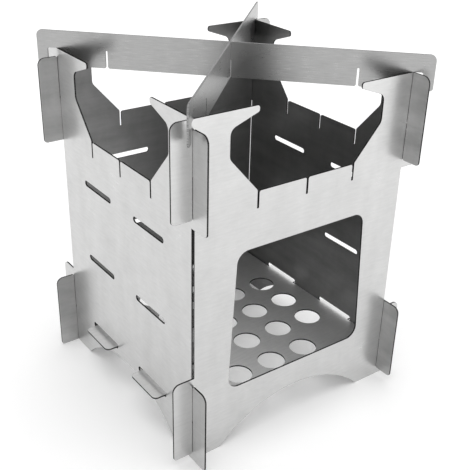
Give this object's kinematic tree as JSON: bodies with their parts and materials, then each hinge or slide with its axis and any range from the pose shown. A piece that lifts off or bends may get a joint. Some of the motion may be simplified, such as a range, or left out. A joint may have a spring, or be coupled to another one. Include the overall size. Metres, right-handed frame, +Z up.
{
  "type": "flat-pack wood stove",
  "caption": "Square camping wood stove of slotted steel sheets that cross at the corners, with a punched grate, a fuel opening and crossed pot bars.",
  "frame": {"origin": "middle of the square fire box, on the ground", "axes": "+Z up; the front wall with the fuel opening faces -Y; +X to the right when facing the front wall"},
  "size_m": [0.1412, 0.1412, 0.178],
  "materials": {
    "wall_steel": "satin stainless sheet",
    "grate_steel": "satin stainless sheet",
    "bar_steel": "satin stainless sheet"
  },
  "bodies": {
    "stove_body": {"front_wall": "wall_steel", "left_wall": "wall_steel", "back_wall": "wall_steel", "right_wall": "wall_steel", "fire_grate": "grate_steel"},
    "lower_bar": {"lower_pot_bar": "bar_steel"},
    "upper_bar": {"upper_pot_bar": "bar_steel"}
  },
  "joints": [
    {"name": "lower_bar_lift", "type": "slide", "parent": "stove_body", "child": "lower_bar", "axis": [0, 0, 1], "range_m": [0, 0.03]},
    {"name": "upper_bar_lift", "type": "slide", "parent": "lower_bar", "child": "upper_bar", "axis": [0, 0, 1], "range_m": [0, 0.03]}
  ]
}
